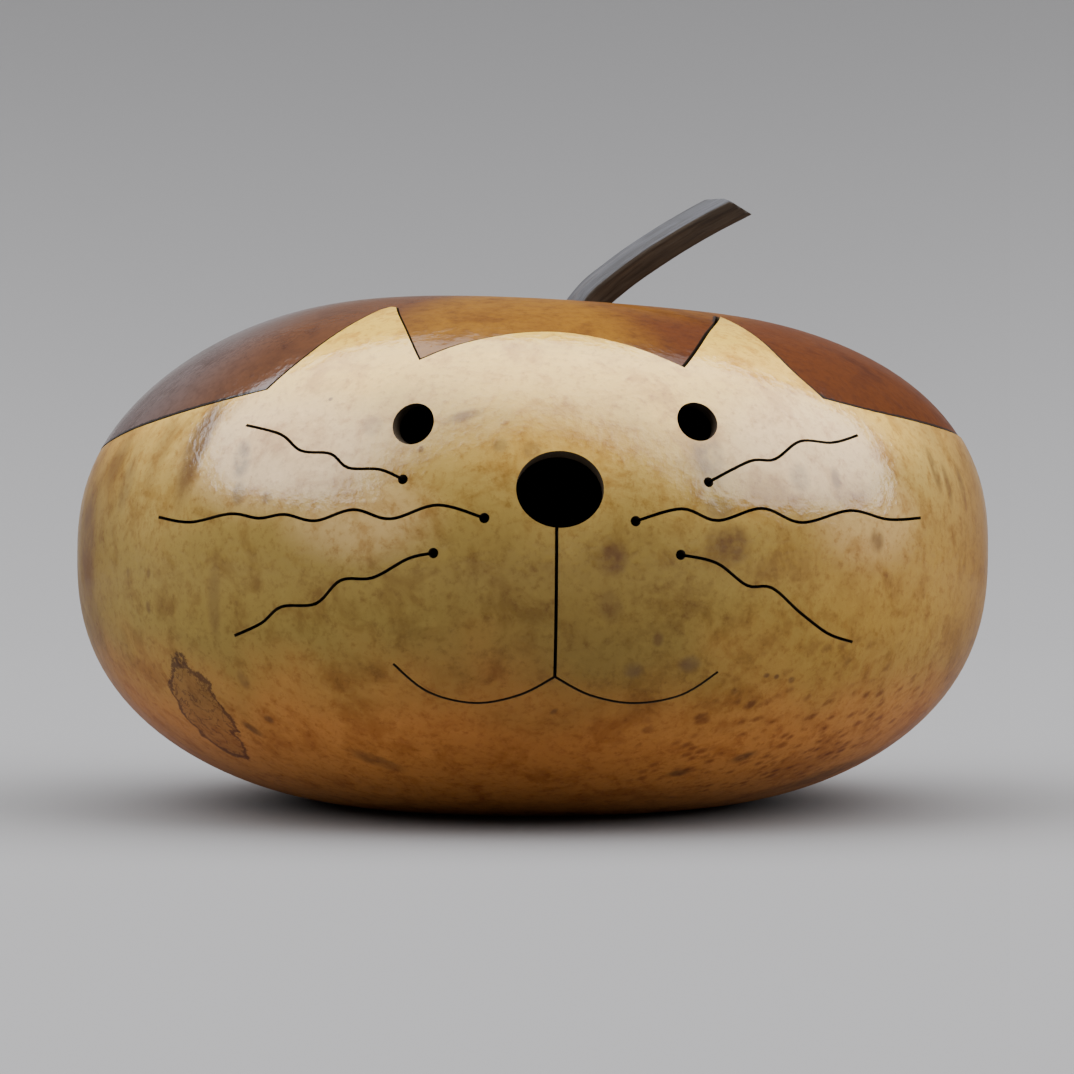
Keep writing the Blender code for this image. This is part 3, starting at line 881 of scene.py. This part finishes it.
def stain(shader, angles, place):
    """The long stain at the lower left: a thin dark ragged outline, inner lines and a light fill."""
    far = shader.far_from(angles, STAIN_PLACE, STAIN_RADII, STAIN_TURN)
    far = shader.swayed(far, shader.noise(place, *STAIN_RAGGED), STAIN_SWAY)
    outline = shader.band(shader.off(far, 1.0), *STAIN_OUTLINE_FADE)
    inside = shader.band(far, *STAIN_INSIDE_FADE)
    veins = shader.off(shader.noise(place, *STAIN_VEINS), 0.5)
    lines = shader.times(inside, shader.band(veins, *STAIN_VEIN_FADE))
    fill = shader.times(inside, STAIN_FILL)
    return shader.math("MAXIMUM", shader.math("MAXIMUM", outline, lines), fill)


def speckles(shader, angles, place):
    """Short slanting orange-brown dashes, dense in the middle of the lower right."""
    slanted = shader.seen_from(angles, (0.0, 0.0), DASH_RADII, DASH_TURN)
    far, pick = shader.cells(slanted, 1.0, DASH_RANDOMNESS)
    far = shader.swayed(far, shader.noise(place, *DASH_RAGGED), DASH_SWAY)
    far = shader.plus(far, shader.times(pick, DASH_SHRINK))
    dash = shader.band(far, *DASH_FADE)
    region = shader.far_from(angles, SPECKLE_PLACE, SPECKLE_RADII, SPECKLE_TURN)
    region = shader.plus(region, shader.times(pick, SPECKLE_THINNING))
    return shader.times(dash, shader.band(region, *SPECKLE_FADE))


def lid_skin():
    """The same skin under a mahogany stain that lies thinner, as amber, in the middle of the front."""
    shader = Shader("lid_skin_stained")
    place = shader.place()
    bearing, rise = shader.bearing_and_rise(place)
    angles = shader.join(bearing, rise, 0.0)
    aside = shader.split(place)[0]
    broad = shader.noise(place, *BROAD_HOLLOWS)
    cloud = shader.noise(place, *LID_CLOUD)
    mottle = shader.noise(place, *LID_MOTTLE)
    noises = {"cloud": cloud, "mottle": mottle, "grain": shader.noise(place, *GRAIN)}

    colour = shader.mix(shader.band(aside, *LID_SIDE_FADE), LID_LEFT_BROWN, LID_RIGHT_RED)
    # Painted reflection: a grey sheen over the lid's left side
    colour = shader.mix(shader.spot(angles, LID_LEFT_SHEEN), colour, SHEEN_GREY)
    near_front = shader.spot(angles, AMBER_FRONT, edge=0.35)
    crest = shader.spot(angles, AMBER_CREST, edge=0.4)
    amber = shader.times(shader.math("MAXIMUM", near_front, crest), shader.band(cloud, *AMBER_CLOUDING))
    colour = shader.mix(amber, colour, LID_AMBER)
    colour = mottled(shader, colour, noises, LID_MOTTLING)
    colour = shader.mix(shader.spot(angles, LID_SPECK), colour, SPECK_BLACK)
    colour = shader.mix(rim_line(shader, place, bearing), colour, RIM_BLACK)

    varnish = shader.band(aside, *LID_VARNISH_FADE)
    return varnished(shader, place, broad, colour, varnish, LID_VARNISH_ROUGHNESS)


def rim_line(shader, place, bearing):
    """The dark ragged line along the sawn rim, beside the ears and round the back."""
    far = shader.swayed(shader.attribute(RIM_DISTANCE), shader.noise(place, *RIM_RAGGED), RIM_SWAY)
    line = shader.band(far, *RIM_LINE_FADE)
    return shader.times(line, shader.band(shader.math("ABSOLUTE", bearing), *RIM_BEARING_FADE))


def bare_pith():
    """The scraped inner face of the shell: dull, pale brown and fibrous."""
    shader = Shader("gourd_inner_pith")
    fibre = shader.noise(shader.place(), *PITH_FIBRE)
    colour = shader.mix(fibre, PITH_PALE, PITH_BROWN)
    return shader.finish(Base_Color=colour, Roughness=0.95, Normal=shader.bump(fibre, 0.001, 0.8))


def cut_wall():
    """The sawn and drilled edge of the shell, nearly black: painted shade inside the holes, slits and saw
    cut.
    """
    shader = Shader("gourd_cut_edge")
    layer = shader.noise(shader.place(), *CUT_LAYERS)
    colour = shader.mix(layer, CUT_BROWN, CUT_BLACK)
    return shader.finish(Base_Color=colour, Roughness=0.8, Specular_IOR_Level=0.2,
                         Normal=shader.bump(layer, 0.0003, 0.6))


def dry_stem():
    """Dry stalk: silver grey where it faces up, partly weathering and partly a painted sky sheen, dark
    brown below, with fibres along it.
    """
    shader = Shader("stem_dry_fibre")
    facing_up = shader.split(shader.coordinates("Normal"))[2]
    along = shader.attribute(FIBRE_PLACE, "Vector")
    fibre = shader.noise(along, *STEM_FIBRE)
    streak = shader.noise(along, *STEM_STREAK)
    tone = shader.noise(shader.place(), *STEM_TONE)
    brown = shader.mix(tone, *STEM_BROWNS)
    grey = shader.mix(tone, *STEM_GREYS)
    # Grey where it faces up: partly weathering, partly a painted sky sheen
    weathering_and_sheen = shader.plus(facing_up, shader.times(streak, STREAK_SWAY))
    colour = shader.mix(shader.band(weathering_and_sheen, *WEATHERING_AND_SHEEN_FADE), brown, grey)
    colour = mottled(shader, colour, {"streak": streak, "fibre": fibre}, STEM_MOTTLING)
    return shader.finish(Base_Color=colour, Roughness=0.5, Specular_IOR_Level=0.35,
                         Normal=shader.bump(fibre, 0.0004, 0.7))


def stage_floor():
    """The plain grey surface of the floor and the backdrop."""
    shader = Shader("stage_floor")
    return shader.finish(Base_Color=FLOOR_COLOUR, Roughness=0.9, Specular_IOR_Level=0.1)


# Pieces

def make_shell(collection, cutters, face):
    """The hollow gourd, parted along the saw line into the lid and the body."""
    skin, stained, pith, edge = gourd_skin(), lid_skin(), bare_pith(), cut_wall()
    face_cutters(face, edge)
    shell = new_object("whole_shell", skin_mesh("whole_shell"), collection)
    for material in (skin, pith, edge):
        shell.data.materials.append(material)
    wall = shell.modifiers.new("Wall", "SOLIDIFY")
    wall.thickness = WALL
    wall.offset = -1.0
    wall.use_even_offset = True
    wall.material_offset = PITH_SLOT - SKIN_SLOT
    blade = saw_blade("lid_saw", lid_line(), SAW_KERF, True, cutters, edge)
    cut_with(shell, "Saw line", object=blade)
    parted = evaluated_mesh(shell)
    lid_part, body_part = loose_parts(parted)

    rough_body = new_object("rough_body", mesh_from_bmesh("rough_body", body_part), collection)
    for material in parted.materials:
        rough_body.data.materials.append(material)
    cut_with(rough_body, "Face", operand_type="COLLECTION", collection=face)
    body_mesh = evaluated_mesh(rough_body)
    body = new_object("body_skin", body_mesh, collection)
    lid_mesh = mesh_from_bmesh("lid_skin", lid_part)
    for material in parted.materials:
        lid_mesh.materials.append(material)
    for mesh in (body_mesh, lid_mesh):
        smooth_like_skin(mesh, shell.data, SKIN_SLOT)
    mark_rim(lid_mesh, SKIN_SLOT)
    lid_mesh.materials[SKIN_SLOT] = stained
    lid_mesh.transform(Matrix.Translation(LID_SETTLE))
    lid = new_object("lid_skin", lid_mesh, collection)
    for spare in (shell, rough_body):
        bpy.data.objects.remove(spare, do_unlink=True)
    return body, lid


def stem_reach(turn):
    """Distance from the stem's middle to its surface: a polygon of sides with rounded corners."""
    pull = 0.0
    for ridge in range(STEM_RIDGES):
        side = math.radians(STEM_FIRST_RIDGE + (ridge + 0.5) * 360 / STEM_RIDGES)
        pull += max(0.0, math.cos(turn - side)) ** STEM_RIDGE_SHARPNESS
    return STEM_RADIUS * pull ** (-1 / STEM_RIDGE_SHARPNESS)


def stem_profile(collection):
    """The stem's section, a closed curve with five flat sides that meet in rounded ridges."""
    profile = bpy.data.curves.new("stem_profile", "CURVE")
    profile.dimensions = "2D"
    line = profile.splines.new("POLY")
    line.points.add(STEM_SIDES - 1)
    for index, point in enumerate(line.points):
        turn = 2 * math.pi * index / STEM_SIDES
        radius = stem_reach(turn)
        point.co = (radius * math.cos(turn), radius * math.sin(turn), 0.0, 1.0)
    line.use_cyclic_u = True
    return new_object("stem_profile", profile, collection)


def make_stem(collection, cutters):
    """The stalk, swept along its path, seated in the dimple and cut at its end."""
    profile = stem_profile(cutters)
    route = bpy.data.curves.new("stem_route", "CURVE")
    route.dimensions = "3D"
    route.resolution_u = STEM_CURVE_STEPS
    route.bevel_mode = "OBJECT"
    route.bevel_object = profile
    route.use_fill_caps = True
    line = route.splines.new("BEZIER")
    line.bezier_points.add(len(STEM_PATH) - 1)
    for point, place, swell in zip(line.bezier_points, STEM_PATH, STEM_SWELL):
        point.co = place
        point.radius = swell
        point.handle_left_type = "AUTO"
        point.handle_right_type = "AUTO"
    sweep = new_object("stem_route", route, collection)
    bm = bmesh.new()
    bm.from_mesh(evaluated_mesh(sweep))
    bmesh.ops.remove_doubles(bm, verts=bm.verts, dist=WELD_DISTANCE)
    for place, facing in STEM_CUTS:
        end = bmesh.ops.bisect_plane(bm, geom=bm.verts[:] + bm.edges[:] + bm.faces[:],
                                     plane_co=place, plane_no=facing, clear_outer=True)
        rim = [item for item in end["geom_cut"] if isinstance(item, bmesh.types.BMEdge)]
        bmesh.ops.contextual_create(bm, geom=rim)
    bmesh.ops.recalc_face_normals(bm, faces=bm.faces)
    whole = new_object("stem_whole", mesh_from_bmesh("stem_whole", bm), collection)
    seat = new_object("stem_seat", skin_mesh("stem_seat"), cutters)
    seat.location = LID_SETTLE
    for vert in seat.data.vertices:
        vert.co += vert.normal * STEM_GAP
    cut_with(whole, "Seat", object=seat)
    stalk = new_object("stalk", evaluated_mesh(whole), collection)
    mark_fibres(stalk.data)
    for polygon in stalk.data.polygons:
        polygon.use_smooth = len(polygon.vertices) < END_CORNERS
    stalk.data.materials.clear()
    stalk.data.materials.append(dry_stem())
    for spare in (sweep, profile, whole):
        bpy.data.objects.remove(spare, do_unlink=True)
    return stalk


def make_pieces():
    """Builds the three pieces, clears the cutters away, ties each piece to the root body and hides the node
    it stands in for.
    """
    pieces = bpy.data.collections.new("visual_pieces")
    bpy.context.scene.collection.children.link(pieces)
    cutters = bpy.data.collections.new("cutters")
    pieces.children.link(cutters)
    face = bpy.data.collections.new("face_cutters")
    cutters.children.link(face)
    body, lid = make_shell(pieces, cutters, face)
    stalk = make_stem(pieces, cutters)
    for collection in (face, cutters):
        for item in list(collection.objects):
            bpy.data.objects.remove(item, do_unlink=True)
        bpy.data.collections.remove(collection)
    for piece, node, slot in ((body, "gourd_body", "gourd_skin"), (lid, "gourd_lid", "lid_stained_skin"),
                              (stalk, "stem", "dry_stem")):
        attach(piece, "root")
        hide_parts(node)


# Stage

def sheet(name, side, half_width, material):
    """A surface that is straight from left to right and follows a line of (y, z) points."""
    bm = bmesh.new()
    verts = [bm.verts.new((-half_width, y, z)) for y, z in side]
    edges = [bm.edges.new(pair) for pair in zip(verts, verts[1:])]
    swept = bmesh.ops.extrude_edge_only(bm, edges=edges)
    across = [item for item in swept["geom"] if isinstance(item, bmesh.types.BMVert)]
    bmesh.ops.translate(bm, verts=across, vec=(2 * half_width, 0.0, 0.0))
    for face in bm.faces:
        face.smooth = True
    item = new_object(name, mesh_from_bmesh(name, bm), bpy.context.scene.collection)
    item.data.materials.append(material)


def make_floor():
    """A wide floor, and a narrower backdrop that curves up from its far edge."""
    material = stage_floor()
    sheet("stage_floor", [(FLOOR_FRONT, 0.0), (FLOOR_BACK, 0.0)], FLOOR_HALF_WIDTH, material)
    curve = []
    for step in range(BACKDROP_STEPS + 1):
        turn = math.pi / 2 * step / BACKDROP_STEPS
        back = FLOOR_BACK + BACKDROP_RADIUS * math.sin(turn)
        curve.append((back, BACKDROP_RADIUS * (1 - math.cos(turn))))
    curve.append((FLOOR_BACK + BACKDROP_RADIUS, BACKDROP_HEIGHT))
    sheet("stage_backdrop", curve, BACKDROP_HALF_WIDTH, material)


def make_lights():
    """The studio: a dim room all round and one long soft box overhead, as parts of the world."""
    world = bpy.data.worlds.new("studio")
    world.use_nodes = True
    tree = world.node_tree

    def link(value, socket):
        if isinstance(value, (int, float)):
            socket.default_value = value
        else:
            tree.links.new(value, socket)

    def math_node(operation, first, second):
        node = tree.nodes.new("ShaderNodeMath")
        node.operation = operation
        link(first, node.inputs[0])
        link(second, node.inputs[1])
        return node.outputs[0]

    def fade(value, ends):
        node = tree.nodes.new("ShaderNodeMapRange")
        node.interpolation_type = "SMOOTHSTEP"
        for socket, number in zip(node.inputs, (value, *ends, 0.0, 1.0)):
            link(number, socket)
        return node.outputs[0]

    towards = tree.nodes.new("ShaderNodeSeparateXYZ")
    tree.links.new(tree.nodes.new("ShaderNodeTexCoord").outputs["Generated"], towards.inputs[0])
    aside, behind, up = towards.outputs
    height = math_node("MAXIMUM", up, LOWEST_HEIGHT)
    behind = math_node("DIVIDE", behind, height)
    aside = math_node("DIVIDE", aside, height)
    off_middle = math_node("MINIMUM", math_node("ABSOLUTE", aside, 0.0), BOX_WEDGE_REACH)
    wedge = math_node("ADD", behind, math_node("MULTIPLY", off_middle, BOX_WEDGE))
    slant = math_node("SUBTRACT", behind, math_node("MULTIPLY", aside, BOX_SLANT))
    box = 1.0
    for value, ends in ((wedge, BOX_FRONT_EDGE), (behind, BOX_BACK_EDGE), (aside, BOX_LEFT_EDGE),
                        (slant, BOX_SLANT_EDGE), (up, BOX_LOW_EDGE)):
        box = math_node("MULTIPLY", fade(value, ends), box)
    background = tree.nodes["Background"]
    background.inputs["Color"].default_value = SKY_COLOUR
    glow = math_node("MULTIPLY", fade(up, ROOM_LEVEL_FADE), ROOM_LEVEL_GLOW)
    room = math_node("ADD", glow, ROOM_STRENGTH)
    strength = math_node("ADD", math_node("MULTIPLY", box, BOX_STRENGTH), room)
    link(strength, background.inputs["Strength"])
    bpy.context.scene.world = world


def make_camera():
    """A level camera that looks along +Y at the cat's face."""
    lens = bpy.data.cameras.new("camera")
    lens.sensor_width = SENSOR_WIDTH
    lens.lens = FOCAL_PIXELS / PHOTO_SIDE * SENSOR_WIDTH
    camera = new_object("camera", lens, bpy.context.scene.collection)
    camera.location = CAMERA_PLACE
    camera.rotation_euler = (math.pi / 2, 0.0, 0.0)
    bpy.context.scene.camera = camera


make_pieces()
make_floor()
make_lights()
make_camera()
